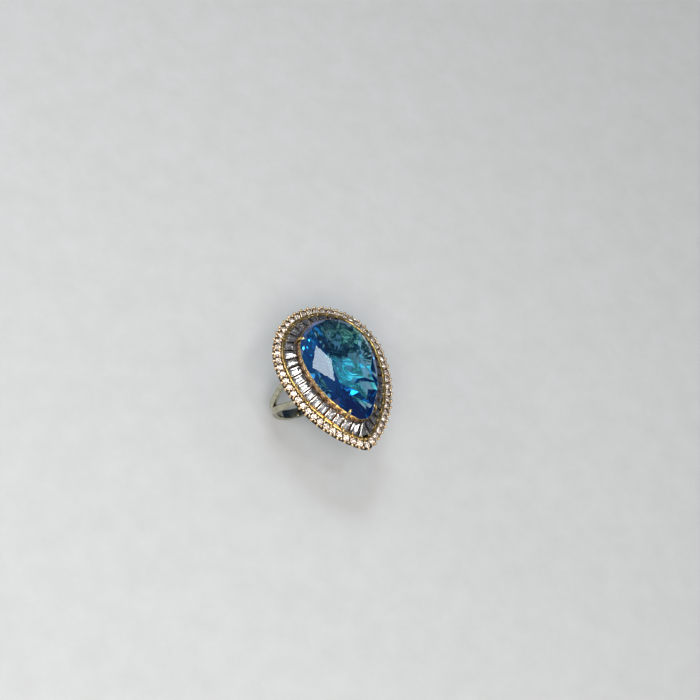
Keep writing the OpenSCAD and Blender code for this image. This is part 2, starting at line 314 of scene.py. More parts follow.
class Nodes:
    """A new material and short ways to add nodes to it. Noises are scaled in metres of the row frame."""

    def __init__(self, name):
        self.mat = bpy.data.materials.new(name)
        self.mat.use_nodes = True
        self.tree = self.mat.node_tree
        self.bsdf = self.tree.nodes["Principled BSDF"]
        self.out = self.tree.nodes["Material Output"]
        self.coord = self.tree.nodes.new("ShaderNodeTexCoord")

    def new(self, kind, **settings):
        n = self.tree.nodes.new(kind)
        for k, v in settings.items():
            setattr(n, k, v)
        return n

    def link(self, a, b):
        self.tree.links.new(a, b)

    def noise(self, scale, detail=3.0, rough=0.5, stretch=None):
        n = self.new("ShaderNodeTexNoise")
        n.inputs["Scale"].default_value = scale
        n.inputs["Detail"].default_value = detail
        n.inputs["Roughness"].default_value = rough
        if stretch:
            m = self.new("ShaderNodeMapping")
            m.inputs["Scale"].default_value = stretch
            self.link(self.coord.outputs["Object"], m.inputs["Vector"])
            self.link(m.outputs["Vector"], n.inputs["Vector"])
        else:
            self.link(self.coord.outputs["Object"], n.inputs["Vector"])
        return n.outputs["Fac"]

    def ramp(self, value, stops):
        """A colour ramp over value, from a list of (position, colour)."""
        r = self.new("ShaderNodeValToRGB")
        e = r.color_ramp.elements
        while len(e) < len(stops):
            e.new(0.5)
        for x, (at, colour) in zip(e, stops):
            x.position, x.color = at, (*colour, 1)
        self.link(value, r.inputs["Fac"])
        return r.outputs["Color"]

    def span(self, value, lo, hi, a=0.3, b=0.7):
        """value spread from the range a to b onto the range lo to hi."""
        m = self.new("ShaderNodeMapRange")
        for key, v in (("From Min", a), ("From Max", b), ("To Min", lo), ("To Max", hi)):
            m.inputs[key].default_value = v
        self.link(value, m.inputs["Value"])
        return m.outputs["Result"]

    def mix(self, fac, a, b):
        m = self.new("ShaderNodeMix", data_type="RGBA")
        for socket, value in ((m.inputs[0], fac), (m.inputs[6], a), (m.inputs[7], b)):
            if isinstance(value, (int, float)):
                socket.default_value = value
            elif isinstance(value, tuple):
                socket.default_value = (*value, 1)
            else:
                self.link(value, socket)
        return m.outputs[2]

    def maths(self, how, a, b):
        m = self.new("ShaderNodeMath", operation=how, use_clamp=True)
        for socket, value in ((m.inputs[0], a), (m.inputs[1], b)):
            if isinstance(value, (int, float)):
                socket.default_value = value
            else:
                self.link(value, socket)
        return m.outputs[0]

    def bump(self, height, strength, distance):
        b = self.new("ShaderNodeBump")
        b.inputs["Strength"].default_value = strength
        b.inputs["Distance"].default_value = distance
        self.link(height, b.inputs["Height"])
        self.link(b.outputs["Normal"], self.bsdf.inputs["Normal"])

    def recess(self, distance):
        """How open the surface is to its surroundings within a distance."""
        ao = self.new("ShaderNodeAmbientOcclusion", samples=5)
        ao.inputs["Distance"].default_value = distance
        return ao.outputs["AO"]


def gold(name, deep, body, bright, rough, oxide_and_shade, reach=0.0006, oxide_and_shade_colour=(0.10, 0.055, 0.025)):
    """Plated metal: cloudy colour, oxide and painted shade in the recesses, fine scratches and a softly
    hammered surface.

    deep, body and bright are its tones; the next three arguments give how dark the recesses grow with oxide
    and painted shade, within reach of each other, and the colour they darken to.
    """
    n = Nodes(name)
    cloud = n.noise(700, 4, 0.6)
    colour = n.ramp(cloud, [(0.28, deep), (0.5, body), (0.75, bright)])
    scratch = n.noise(5200, 2, 0.5, stretch=(1, 0.14, 0.6))
    colour = n.mix(n.span(scratch, 0, 0.35, 0.55, 0.75), colour, bright)
    open_ = n.recess(reach)
    # The recesses darken with oxide and painted shade: ambient occlusion, made patchy by noise
    dark = n.span(open_, oxide_and_shade, 0.0, 0.35, 0.85)
    recess_patches = n.span(n.noise(1500, 3, 0.6), 0.0, 1.0, 0.4, 0.65)
    dark = n.maths("MULTIPLY", dark, n.maths("ADD", recess_patches, 0.45))
    colour = n.mix(dark, colour, oxide_and_shade_colour)
    n.link(colour, n.bsdf.inputs["Base Color"])
    n.bsdf.inputs["Metallic"].default_value = 1.0
    base = n.span(n.noise(2600, 3, 0.6), rough, rough + 0.12)
    n.link(n.maths("ADD", base, n.maths("MULTIPLY", dark, 0.35)), n.bsdf.inputs["Roughness"])
    n.bump(n.noise(2400, 3, 0.55), 0.12, 0.00008)
    return n.mat


def glass(name, tint, other, ior, clear, rough=0.0, depth=None, lamp=(1, 1, 1), glow=None):
    """Cut stone: a clear body whose tint shifts from one stone to the next, with faint polishing marks.

    clear is the share of light that goes in, depth the colour and density of the body, lamp the colour of
    the shadow, and the last argument the colour and strength of a faint painted glow of its own.
    """
    n = Nodes(name)
    island = n.new("ShaderNodeNewGeometry").outputs["Random Per Island"]
    cloud = n.noise(420, 2, 0.5)
    colour = n.mix(n.maths("MULTIPLY", n.maths("ADD", island, cloud), 0.5), tint, other)
    n.link(colour, n.bsdf.inputs["Base Color"])
    n.bsdf.inputs["Transmission Weight"].default_value = clear
    n.bsdf.inputs["IOR"].default_value = ior
    n.link(n.span(n.noise(3000, 3, 0.6), rough, rough + 0.015), n.bsdf.inputs["Roughness"])
    n.bump(n.noise(900, 2, 0.5), 0.008, 0.00005)
    if glow:
        # A faint painted glow: light of its own, standing in for light scattered inside the stone
        n.bsdf.inputs["Emission Color"].default_value = (*glow[0], 1)
        n.bsdf.inputs["Emission Strength"].default_value = glow[1]
    through = n.new("ShaderNodeBsdfTransparent")
    through.inputs["Color"].default_value = (*lamp, 1)
    path = n.new("ShaderNodeLightPath")
    both = n.new("ShaderNodeMixShader")
    n.link(path.outputs["Is Shadow Ray"], both.inputs[0])
    n.link(n.bsdf.outputs[0], both.inputs[1])
    n.link(through.outputs[0], both.inputs[2])
    n.link(both.outputs[0], n.out.inputs["Surface"])
    if depth:
        volume = n.new("ShaderNodeVolumeAbsorption")
        volume.inputs["Color"].default_value = (*depth[0], 1)
        volume.inputs["Density"].default_value = depth[1]
        n.link(volume.outputs[0], n.out.inputs["Volume"])
    return n.mat


def silvered(name, cool, warm, rough):
    """The mirror coat on the back of a cut stone, a little cloudy, from cool to warm among the stones."""
    n = Nodes(name)
    island = n.new("ShaderNodeNewGeometry").outputs["Random Per Island"]
    tone = n.maths("MULTIPLY", n.maths("ADD", island, n.noise(500, 2, 0.5)), 0.5)
    n.link(n.ramp(tone, [(0.2, cool), (0.8, warm)]), n.bsdf.inputs["Base Color"])
    n.bsdf.inputs["Metallic"].default_value = 1.0
    n.link(n.span(n.noise(1800, 2, 0.5), rough, rough + 0.06), n.bsdf.inputs["Roughness"])
    return n.mat


# Colours that the metals' recesses darken to, oxide and painted shade together
BROWN, UMBER = (0.10, 0.05, 0.015), (0.07, 0.035, 0.015)
RUSSET, NEAR_BLACK = (0.07, 0.038, 0.022), (0.02, 0.012, 0.008)
bright_gold = gold("bright_gold", (0.66, 0.42, 0.13), (0.88, 0.62, 0.24), (1.0, 0.82, 0.45), 0.16, 0.9)
rail_gold = gold(
    "rail_gold", (0.70, 0.43, 0.11), (0.98, 0.68, 0.24), (1.0, 0.88, 0.50), 0.1, 0.8, 0.0004, BROWN
)
copper = gold(
    "copper_gold", (0.50, 0.27, 0.15), (0.76, 0.48, 0.31), (1.0, 0.82, 0.66), 0.14, 0.9, 0.0006, RUSSET
)
antique = gold(
    "antique_gold", (0.012, 0.007, 0.005), (0.03, 0.017, 0.009), (0.12, 0.07, 0.03), 0.26, 0.95, 0.0008, NEAR_BLACK
)
filigree = gold("filigree_gold", (0.60, 0.48, 0.24), (0.88, 0.76, 0.46), (1.0, 0.92, 0.64), 0.38, 1.0, 0.001)
# A dark copy of the gold for the plate's rim and round-end half, the base rail and the gallery wires: painted
# shade
painted_shade_gold = gold(
    "painted_shade_gold", (0.02, 0.013, 0.007), (0.065, 0.043, 0.02), (0.30, 0.21, 0.10), 0.28, 0.9, 0.0008
)
shank_gold = gold("shank_gold", (0.34, 0.33, 0.24), (0.46, 0.44, 0.33), (0.74, 0.71, 0.56), 0.08, 0.6, 0.0012)
grain_gold = gold(
    "grain_gold", (0.64, 0.40, 0.18), (0.94, 0.69, 0.40), (1.0, 0.90, 0.70), 0.12, 0.95, 0.0004, UMBER
)
BLUE_DEPTH = ((0.0, 0.68, 0.90), 185.0)
BLUE_LAMP = (0.26, 0.74, 0.78)
# A faint painted glow of the blue stone's own
BLUE_GLOW = ((0.0, 0.22, 1.0), 0.014)
blue = glass(
    "blue_stone", (0.93, 0.98, 1.0), (0.86, 0.96, 1.0), 1.56, 1.0, 0.0, BLUE_DEPTH, BLUE_LAMP, BLUE_GLOW
)
clear_cut = glass("baguette_stone", (0.90, 0.89, 0.94), (0.99, 0.95, 0.91), 1.7, 0.97, 0.005)
long_foil = silvered("baguette_foil", (0.54, 0.53, 0.54), (0.88, 0.83, 0.76), 0.08)
round_foil = silvered("round_foil", (0.86, 0.78, 0.72), (1.0, 0.95, 0.89), 0.1)
clear_round = glass("round_stone", (1.0, 0.94, 0.89), (0.98, 0.91, 0.86), 1.9, 0.92, 0.01)


# ---- centre stone ----

# The crown's corners: directions from the centre in degrees from the point, heights, shares of the way out
CENTRE = (0.0, -2.3)
MAINS = [0, 29, 88, 145, 180, 215, 272, 331]
STARS = [15, 43, 128, 160, 200, 232, 317, 345]
TABLE_Z, STAR_Z, GIRDLE_TOP, GIRDLE_LOW = 6.5, 5.8, 3.48, 3.3
TABLE_PART, STAR_PART = 0.42, 0.7
# Width of the outermost row of crown facets
OUTER_ROW = 0.9
# The pavilion: height of its keel, the keel's two ends along Y from the centre, and for its middle row of
# points the share of the way out and of the depth, under a main facet and between two
CULET_Z = -3.8
KEEL_ENDS = (1.6, -4.0)
MAIN_ROW, BETWEEN_ROW = (0.5, 0.60), (0.6, 0.50)
# The main facet that mirrors the white card to the camera
LEFT_MAIN = 272


def rim(deg, inset=0.0):
    """Where a direction from the stone's centre, counted from its point, meets its outline."""
    u = (math.sin(math.radians(deg)), -math.cos(math.radians(deg)))
    t = STONE.reach(CENTRE, u) - inset
    return Vector((CENTRE[0] + t * u[0], CENTRE[1] + t * u[1], 0))


def rim_part(deg, part, z):
    """The point a share of the way from the stone's centre to its outline, at a height."""
    p = rim(deg)
    return Vector((CENTRE[0] + part * (p.x - CENTRE[0]), CENTRE[1] + part * (p.y - CENTRE[1]), z))


def on_plane(p, a, b, c):
    """p moved up or down onto the plane through a, b and c."""
    n = (b - a).cross(c - a)
    return Vector((p.x, p.y, a.z - (n.x * (p.x - a.x) + n.y * (p.y - a.y)) / n.z))


def stone_points():
    """The crown's corners: table, star, kite and the points between two kites."""
    table = [rim_part(g, TABLE_PART, TABLE_Z) for g in MAINS]
    star = [rim_part(g, STAR_PART, STAR_Z) for g in STARS]
    kite, between = [], []
    for i, g in enumerate(MAINS):
        p = rim(g, OUTER_ROW)
        kite.append(on_plane(p, table[i], star[i - 1], star[i]))
    for j, g in enumerate(STARS):
        p = rim(g, OUTER_ROW)
        low = (kite[j].z + kite[(j + 1) % 8].z) / 2
        between.append(Vector((p.x, p.y, low)))
    return table, star, kite, between


def centre_stone():
    """The pear in flat facets: crown, girdle and pavilion."""
    table, star, kite, between = stone_points()
    s = Shape()
    s.add(table, [tuple(range(8))])
    for i in range(8):
        j = (i + 1) % 8
        s.add([table[i], star[i], table[j]], [(0, 1, 2)])
        s.add([table[i], star[i - 1], kite[i], star[i]], [(0, 1, 2, 3)])
        s.add([star[i], kite[i], between[i]], [(0, 1, 2)])
        s.add([star[i], between[i], kite[j]], [(0, 1, 2)])
    # the points that the outer row of facets starts from, four for each main facet
    inner = []
    for i in range(8):
        j = (i + 1) % 8
        inner += [kite[i], kite[i].lerp(between[i], 0.5), between[i], between[i].lerp(kite[j], 0.5)]
    dirs = [math.atan2(p.x - CENTRE[0], CENTRE[1] - p.y) for p in inner]
    edge = []
    for n, g in enumerate(dirs):
        after = dirs[(n + 1) % len(dirs)]
        step = (after - g) % (2 * math.pi)
        edge += [rim(math.degrees(g + step * q)) for q in (0.0, 0.5)]
    m = len(edge)
    top = [Vector((p.x, p.y, GIRDLE_TOP)) for p in edge]
    low = [Vector((p.x, p.y, GIRDLE_LOW)) for p in edge]
    for n in range(len(inner)):
        a, b = inner[n], inner[(n + 1) % len(inner)]
        o = [top[2 * n], top[2 * n + 1], top[(2 * n + 2) % m]]
        fans = ((0, 1, 2), (0, 2, 3), (0, 3, 4)), ((4, 0, 1), (4, 1, 2), (4, 2, 3))
        s.add([a, *o, b], fans[n % 2])
    s.loft([low, top], caps=False, smooth=False)
    # pavilion: two rows of facets down to a keel
    keel = [Vector((0, CENTRE[1] + y, z)) for y, z in zip(KEEL_ENDS, (CULET_Z, CULET_Z + 0.1))]
    mid = []
    for i in range(16):
        g = (MAINS, STARS)[i % 2][i // 2]
        part, depth = (MAIN_ROW, BETWEEN_ROW)[i % 2]
        mid.append(rim_part(g, part, GIRDLE_LOW - (GIRDLE_LOW - CULET_Z) * depth))
    for i in range(16):
        a, b = mid[i], mid[(i + 1) % 16]
        span = [low[(4 * i + q) % m] for q in reversed(range(5))]
        corners = [b, *span, a] if i % 2 else [a, b, *span]
        s.add(corners, [(0, q, q + 1) for q in range(1, 6)])
    ends = []
    for p in mid:
        k = min(max((p.y - keel[1].y) / (keel[0].y - keel[1].y), 0), 1)
        ends.append(keel[0] if k > 0.5 else keel[1])
    for i in range(16):
        a, b = mid[i], mid[(i + 1) % 16]
        if ends[i] == ends[(i + 1) % 16]:
            s.add([a, ends[i], b], [(0, 1, 2)])
        else:
            s.add([a, ends[i], ends[(i + 1) % 16], b], [(0, 1, 2), (0, 2, 3)])
    obj = s.build("centre_stone_cut", [blue], ["centre_stone"])
    outward_normals(obj, weld=1e-6)


# ---- baguettes ----

# Heights of a baguette's top at its inner and outer end, and of its lowest point
BAG_IN_Z, BAG_OUT_Z, BAG_BASE = 1.6, 0.2, -0.56
BAG_LENGTH = 2.6
# Gaps between two baguettes, and between a baguette's end and the wall or the rail
BAG_GAP, END_GAP = 0.44, 0.08
# How far a baguette may lean to one side, as a slope
BAG_LEAN = 0.11
# Its cut, loop by loop: how far in at the ends and at the sides, and how far below the top
BAG_CUT = [(0.4, 0.68, 0.0), (0.16, 0.3, 0.2), (0, 0, 0.4), (0, 0, 0.46), (0.5, 0.7, 1.15)]


def bag_corner(i, side, out):
    """A corner of baguette i: side is 1 or -1 along the row, out tells the rail's end from the wall's end."""
    k = (i + side / 2) / BAGUETTES
    v, u = TRAY.at(k), TRAY.normal(k)
    way = 1 if out else -1
    edge, half = (RAIL, RAIL_HALF) if out else (WALL, WALL_HALF)
    far = edge.reach(v, u * way, way) - half - END_GAP
    across = Vector((-u.y, u.x, 0))
    return v + u * (way * far) - across * (side * BAG_GAP / 2)


def shrink(loop, end, side):
    """A four-sided loop of points, seen from above, drawn in by end at its ends and side at its sides."""
    n, lines = len(loop), []
    for i in range(n):
        a, b = loop[i], loop[(i + 1) % n]
        t = Vector((b.x - a.x, b.y - a.y)).normalized()
        lines.append((Vector((a.x, a.y)) + Vector((-t.y, t.x)) * (side if i % 2 else end), t))
    points = []
    for i in range(n):
        (p, t), (q, s) = lines[i - 1], lines[i]
        cross = t.x * s.y - t.y * s.x
        k = ((q.x - p.x) * s.y - (q.y - p.y) * s.x) / cross
        points.append(Vector((p.x + t.x * k, p.y + t.y * k, 0)))
    return points


def baguette(s, i):
    corners = [bag_corner(i, side, out) for side, out in ((-1, True), (1, True), (1, False), (-1, False))]
    v, u = TRAY.at(i / BAGUETTES), TRAY.normal(i / BAGUETTES)
    slope = (BAG_OUT_Z - BAG_IN_Z) / BAG_LENGTH
    mid = (BAG_IN_Z + BAG_OUT_Z) / 2
    tilt = rng.uniform(-BAG_LEAN, BAG_LEAN)

    def level(loop, drop):
        """The loop on the baguette's sloping top, lowered by drop."""
        points = []
        for p in loop:
            d, w = (p - v).dot(u), (p - v).dot(Vector((-u.y, u.x, 0)))
            points.append(Vector((p.x, p.y, max(mid + slope * d + tilt * w - drop, BAG_BASE))))
        return points

    loops = [level(shrink(corners, end, side), drop) for end, side, drop in BAG_CUT]
    # the last two loops bound the silvered back
    for part, index in ((loops[3:], 1), (loops[:4], 0)):
        s.loft(list(reversed(part)), caps=False, smooth=False, index=index)
    s.add(loops[0], [(0, 1, 2, 3)])
    s.add(loops[-1], [(3, 2, 1, 0)], index=1)


def baguettes():
    groups = {
        "baguettes_tip": range(-3, 4),
        "baguettes_right": range(4, 12),
        "baguettes_round_end": range(12, 25),
        "baguettes_left": range(25, 33),
    }
    for node, which in groups.items():
        s = Shape()
        for i in which:
            baguette(s, i)
        s.build(node + "_cut", [clear_cut, long_foil], [node])


# ---- walls, rail, collar ----

# Half the joint between two blocks of the inner wall, and of the outer rail
WALL_JOINT, RAIL_JOINT = 0.15, 0.06


def inner_wall():
    """A core ring and one copper block for each baguette."""
    s = Shape()
    s.ring(WALL, rounded(-WALL_HALF + 0.02, WALL_HALF - 0.14, WALL_BOTTOM, WALL_TOP - 0.1, 0.08), index=1)
    half = 0.5 / BAGUETTES - WALL_JOINT / WALL.length
    block = rounded(-WALL_HALF, WALL_HALF, 0.2, WALL_TOP, 0.14, 4)
    for i in range(BAGUETTES):
        k = i / BAGUETTES
        s.ring(WALL, block, k - half, k + half, 8, 0.1)
    s.build("inner_wall_blocks", [copper, bright_gold], ["inner_wall"])


def outer_rail():
    """A core ring, one gold bar for each baguette and a small grain inside each joint."""
    s = Shape()
    s.ring(RAIL, rounded(-RAIL_HALF + 0.06, RAIL_HALF - 0.06, WALL_BOTTOM, RAIL_TOP - 0.25, 0.1), index=1)
    half = 0.5 / BAGUETTES - RAIL_JOINT / RAIL.length
    bar = rounded(-RAIL_HALF, RAIL_HALF, RAIL_TOP - 0.7, RAIL_TOP, 0.18, 4)
    for i in range(BAGUETTES):
        k = i / BAGUETTES
        s.ring(RAIL, bar, k - half, k + half, 10, 0.06)
        s.ball(RAIL.at(k + 0.5 / BAGUETTES, -RAIL_HALF - 0.08, RAIL_TOP - 0.02), 0.17, seg=10, rings=6)
    s.build("outer_rail_bars", [rail_gold, antique], ["outer_rail"])


def seat_collar():
    s = Shape()
    low, high = WALL_TOP - 0.2, GIRDLE_LOW - 0.03
    s.ring(STONE, rounded(-0.14, 0.12, low, high, 0.06, 3))
    s.build("seat_collar_edge", [bright_gold], ["seat_collar"])


# ---- claws ----

# The gaps between baguettes in which the claws stand, counted from the gap beside the point
TIP_GAP, HEAD_GAP = 2, 13
# The line of a claw: (outward from the girdle, up, radius)
CLAW_LINE = [
    (0.62, -2.0, 0.32),
    (0.62, 1.0, 0.32),
    (0.56, 2.4, 0.3),
    (0.5, 3.0, 0.3),
    (0.42, 3.35, 0.31),
    (0.26, 3.66, 0.33),
    (0.05, 3.9, 0.37),
    (-0.16, 4.08, 0.41),
    (-0.32, 4.18, 0.43),
]


def claw(name, gap, left):
    """A claw in a gap between baguettes. The left claws are mirror images of the right ones."""
    k = (gap + 0.5) / BAGUETTES
    v, u = TRAY.at(k), TRAY.normal(k)
    far = STONE.reach(v, -u, -1)
    origin = v - u * far
    points = []
    for x, z, _ in CLAW_LINE:
        p = origin + u * x
        points.append((-p.x if left else p.x, p.y, z))
    s = Shape()
    s.tube(points, [r for _, _, r in CLAW_LINE], 14)
    s.build(name + "_shaped", [bright_gold], [name])


def claws():
    claw("claw_tip_right", TIP_GAP, False)
    claw("claw_head_right", HEAD_GAP, False)
    claw("claw_head_left", HEAD_GAP, True)
    claw("claw_tip_left", TIP_GAP, True)


# ---- halo ----

# The band: height of its inner edge, how far in that edge is from the row of stones, and its downward slope
HALO_TOP, HALO_IN, HALO_SLOPE = -0.65, -0.84, math.radians(17)
HALO_D = 1.64
# Height over the band of the stones' girdles, from which the height of the grains counts too
HALO_RISE = 0.1
# Grains between the stones, and grains of the edge: distance outward from the row, and radius
GRAINS = (("halo_prongs_inner", -0.62, 0.33), ("halo_prongs_outer", 0.74, 0.37))
EDGE_OUT, EDGE_R = 1.08, 0.42
# How far a grain may be off its place, as a share of the distance between two stones
GRAIN_SHIFT = 0.04


def band_z(d):
    """Height of the band's top a distance d outward from the row of stones."""
    return HALO_TOP - (d - HALO_IN) * math.tan(HALO_SLOPE)


def band_frame(k, d, up):
    """A centre at a height over the halo band, and three axes: outward, along the row, square to the band."""
    u = HALO.normal(k)
    e1 = Vector((u.x * math.cos(HALO_SLOPE), u.y * math.cos(HALO_SLOPE), -math.sin(HALO_SLOPE)))
    e2 = Vector((-u.y, u.x, 0))
    e3 = Vector((u.x * math.sin(HALO_SLOPE), u.y * math.sin(HALO_SLOPE), math.cos(HALO_SLOPE)))
    return HALO.at(k, d, band_z(d)) + e3 * up, e1, e2, e3


def brilliant(s, c, e1, e2, e3, r):
    """A round brilliant: table, stars, mains, girdle and pavilion, all flat facets."""
    turn = rng.uniform(0, math.pi / 4)
    lean = Matrix.Rotation(rng.uniform(-0.1, 0.1), 3, e1) @ Matrix.Rotation(rng.uniform(-0.1, 0.1), 3, e2)

    def p(radius, deg, z):
        g = turn + math.radians(deg)
        return c + lean @ (e1 * (radius * r * math.cos(g)) + e2 * (radius * r * math.sin(g)) + e3 * (z * r))

    top = [p(0.58, 45 * i, 0.34) for i in range(8)]
    star = [p(0.8, 45 * i + 22.5, 0.2) for i in range(8)]
    girdle = [p(1, 22.5 * i, 0.02) for i in range(16)]
    under = [p(1, 22.5 * i, -0.04) for i in range(16)]
    low = [p(0.5, 45 * i + 22.5, -0.5) for i in range(8)]
    culet = p(0, 0, -0.86)
    s.add(top, [tuple(range(8))])
    for i in range(8):
        j = (i + 1) % 8
        s.add([top[i], star[i], top[j]], [(0, 1, 2)])
        s.add([top[i], star[i - 1], girdle[2 * i], star[i]], [(0, 1, 2, 3)])
        s.add([star[i], girdle[2 * i], girdle[2 * i + 1]], [(0, 1, 2)])
        s.add([star[i], girdle[2 * i + 1], girdle[(2 * i + 2) % 16]], [(0, 1, 2)])
        s.add([low[i], under[2 * i + 1], under[2 * i]], [(0, 1, 2)], index=1)
        s.add([low[i], under[(2 * i + 2) % 16], under[2 * i + 1]], [(0, 1, 2)], index=1)
        s.add([culet, low[i], under[2 * i], low[i - 1]], [(0, 1, 2, 3)], index=1)
    s.loft([under, girdle], caps=False, smooth=False)


def halo():
    groups = {
        "halo_stones_tip": range(-3, 4),
        "halo_stones_right": range(4, 17),
        "halo_stones_round_end": range(17, 38),
        "halo_stones_left": range(38, 51),
    }
    for node, which in groups.items():
        s = Shape()
        for i in which:
            c, e1, e2, e3 = band_frame(i / HALO_STONES, 0.0, HALO_RISE)
            brilliant(s, c, e1, e2, e3, HALO_D / 2 * rng.uniform(0.95, 0.99))
        s.build(node + "_cut", [clear_round, round_foil], [node])
    for node, d, r in GRAINS:
        s = Shape()
        for i in range(HALO_STONES):
            k = (i + 0.5 + rng.uniform(-GRAIN_SHIFT, GRAIN_SHIFT)) / HALO_STONES
            size = r * rng.uniform(0.9, 1.04)
            c, e1, e2, e3 = band_frame(k, d, HALO_RISE + size * 0.6)
            s.tube([c - e3 * (size * 0.6 + 0.14), c - e3 * 0.02], [size * 0.95, size * 0.88], 10, ends=False)
            s.ball(c, size, (e1, e2, e3), rng.uniform(0.85, 1.0))
        s.build(node + "_grains", [grain_gold], [node])
    s = Shape()
    for i in range(HALO_STONES):
        k = (i + rng.uniform(-GRAIN_SHIFT, GRAIN_SHIFT)) / HALO_STONES
        size = EDGE_R * rng.uniform(0.9, 1.0)
        c, e1, e2, e3 = band_frame(k, EDGE_OUT, size * 0.7)
        s.tube([c - e3 * (size * 0.9), c - e3 * 0.05], [size, size * 0.95], 10, ends=False)
        s.ball(c, size, (e1, e2, e3), rng.uniform(0.88, 1.0))
    s.build("halo_edge_grains", [grain_gold], ["halo_edge_beads"])


# ---- gallery ----

PLATE_Z, PLATE_T = GALLERY + 0.1, 0.7
PLATE_MID = PLATE_Z + PLATE_T / 2
# The scrolls of one half: centre, radius, first angle and turn, in degrees
CURLS = [
    (3.0, 3.5, 2.5, -180, 290),
    (4.1, -2.4, 2.6, 10, -290),
    (2.3, -8.2, 2.1, -180, 270),
    (1.3, -12.6, 1.1, 180, -230),
]
# The plate's middle bar, from the point's end to the round end, and the places of its bosses
BAR = (-15.6, 7.0)
BOSSES = (6.0, 0.9, -5.2, -10.6)
# Fans of three leaves: place, direction of the middle leaf and length
UPPER_FANS = ((6.4, 5.2, -100, 2.4), (6.9, 1.4, 120, 2.4), (0.9, 7.6, -30, 2.2), (3.4, 7.9, -30, 2.0))
LOWER_FANS = ((7.0, -1.8, -130, 2.2), (6.3, -5.6, 150, 2.2), (4.6, -9.6, 140, 2.0), (3.0, -12.6, 150, 1.5))
RAIL_H = 0.9
BASE_BEADS = 90


def leaf(s, root, along, out, length, bend, wide, index=0):
    """A flattened leaf that starts along one way and bends towards another."""
    line, widths = [], []
    for q in range(9):
        f = q / 8
        line.append(root + along * (length * f * (1 - 0.35 * bend * f)) + out * (length * bend * 0.6 * f * f))
        widths.append(0.06 + wide * math.sin(math.pi * min(f * 0.92 + 0.08, 1)) ** 0.7)
    s.tube(line, widths, 8, flat=0.55, index=index)


def scroll(s, x, y, r, start, turn, mirror, index=0):
    """A ribbon of two ribs that winds in on itself to a round eye, with leaves on its back."""
    steps = 54
    extra = math.copysign(130, turn)

    def at(t, rise):
        g = math.radians(start + (turn + extra) * t)
        rr = r * (1 - 0.6 * t**1.5) + rise * (1 - 0.5 * t)
        return Vector(((x + rr * math.cos(g)) * mirror, y + rr * math.sin(g), PLATE_MID))

    for rise in (-0.4, 0.4):
        line = [at(i / steps, rise) for i in range(steps + 1)]
        s.tube(line, [0.42 * (1 - 0.35 * i / steps) for i in range(steps + 1)], 10, flat=0.75, index=index)
    eye = at(1.0, -0.35)
    s.ball(eye, 0.9, squash=0.36, seg=18, index=index)
    s.ball(eye + Vector((0, 0, 0.2)), 0.32, squash=0.5, index=index)
    for q in range(9):
        t = 0.06 + 0.085 * q
        root, tip = at(t, 0.35), at(t, 1.2)
        along = (at(t + 0.01, 0.35) - root).normalized()
        size = 1.7 - 0.08 * q
        leaf(s, root, along, (tip - root).normalized(), size, 0.8, 0.5, index)


def fan(s, x, y, ways, length, wide, index=0):
    """Leaves that spread from a point of the plate, in the directions ways, and the same mirrored."""
    for way in ways:
        for mirror in (1, -1):
            g = math.radians(way)
            along = Vector((math.cos(g) * mirror, math.sin(g), 0))
            out = Vector((-math.sin(g) * mirror, math.cos(g), 0))
            leaf(s, Vector((x * mirror, y, PLATE_MID)), along, out, length, 0.5, wide, index)


def scroll_plate():
    """A rim, a middle bar with bosses, scrolls and fans; the rim and the round-end half are in a dark copy of
    the metal, painted shade.
    """
    s = Shape()
    # The rim in the dark copy of the metal: painted shade
    s.ring(BASE, rounded(-1.15, -0.4, PLATE_Z, PLATE_Z + PLATE_T, 0.15), index=1)
    bar_lo, bar_hi = (Vector((0, y, PLATE_MID)) for y in BAR)
    count = 30
    bar = [bar_lo.lerp(bar_hi, i / count) for i in range(count + 1)]
    s.tube(bar, [0.34 + 0.1 * abs(math.sin(i * 0.7)) for i in range(count + 1)], 10, flat=0.8)
    for y in BOSSES:
        # Bosses on the round-end half in the dark copy of the metal: painted shade
        index = 1 if y > 3 else 0
        s.ball((0, y, PLATE_MID + 0.03), 0.62, squash=0.5, index=index)
        fan(s, 0.25, y, (-64, -30, 4, 38), 2.1 if y > -8 else 1.3, 0.46, index)
    for x, y, way, length in UPPER_FANS:
        # The upper fans in the dark copy of the metal: painted shade
        fan(s, x, y, (way - 32, way, way + 32), length, 0.5, 1)
    for x, y, way, length in LOWER_FANS:
        fan(s, x, y, (way - 30, way, way + 30), length, 0.46)
    for x, y, r, start, turn in CURLS:
        for mirror in (1, -1):
            # Scrolls on the round-end half in the dark copy of the metal: painted shade
            scroll(s, x, y, r, start, turn, mirror, 1 if y > 0 else 0)
    s.build("scroll_plate_filigree", [filigree, painted_shade_gold], ["scroll_plate"])


def base_rail():
    s = Shape()
    s.ring(BASE, rounded(-0.45, 0.45, GALLERY, GALLERY + RAIL_H, 0.2, 4))
    for i in range(BASE_BEADS):
        s.ball(BASE.at((i + 0.5) / BASE_BEADS, 0.42, GALLERY + RAIL_H / 2), 0.2, seg=8, rings=5)
    # The beaded rail in a dark copy of the gold: painted shade
    s.build("base_rail_beaded", [painted_shade_gold], ["base_rail"])


